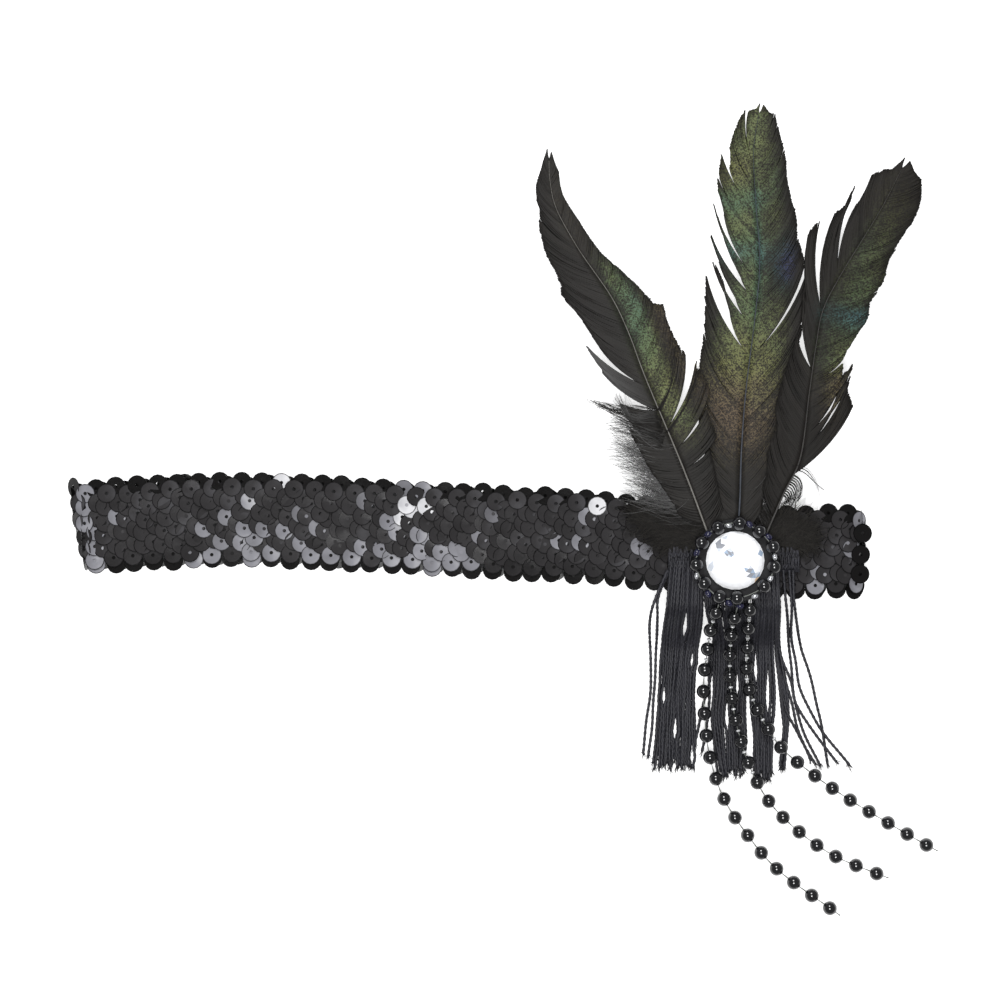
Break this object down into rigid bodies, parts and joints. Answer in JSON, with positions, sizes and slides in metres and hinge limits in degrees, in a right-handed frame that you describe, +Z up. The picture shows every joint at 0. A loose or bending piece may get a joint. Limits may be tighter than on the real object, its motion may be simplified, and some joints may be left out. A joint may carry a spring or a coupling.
{
  "type": "flapper feather headband",
  "caption": "Sequinned elastic headband laid flat, with a beaded stone rosette, feathers, a cord fringe and hanging strings of beads.",
  "frame": {"origin": "under the centre of the rosette's stone, on the surface that the headband lies on", "axes": "+X along the folded band towards its near end, +Y the way the feathers point, +Z up out of the rosette's face"},
  "size_m": [0.2712, 0.251, 0.0194],
  "materials": {
    "black_elastic": "matte woven elastic web",
    "black_sequins": "overlapping shiny black and grey plastic sequins",
    "black_cord": "twisted rayon cord with a soft sheen",
    "black_down": "matte fluffy down",
    "feather": "dark cock feather with a green and bronze sheen",
    "black_felt": "matte felt",
    "black_beads": "glossy black beads on thread",
    "clear_stone": "clear faceted acrylic with a silver foil back"
  },
  "bodies": {
    "root": {"elastic_band": "black_elastic", "sequin_coat": "black_sequins", "fringe": "black_cord", "down_tuft": "black_down", "feather_left": "feather", "feather_middle": "feather", "feather_right": "feather", "felt_backing": "black_felt", "bead_ring": "black_beads", "centre_stone": "clear_stone", "bead_string_left": "black_beads", "bead_string_middle": "black_beads", "bead_string_right": "black_beads"}
  },
  "joints": []
}
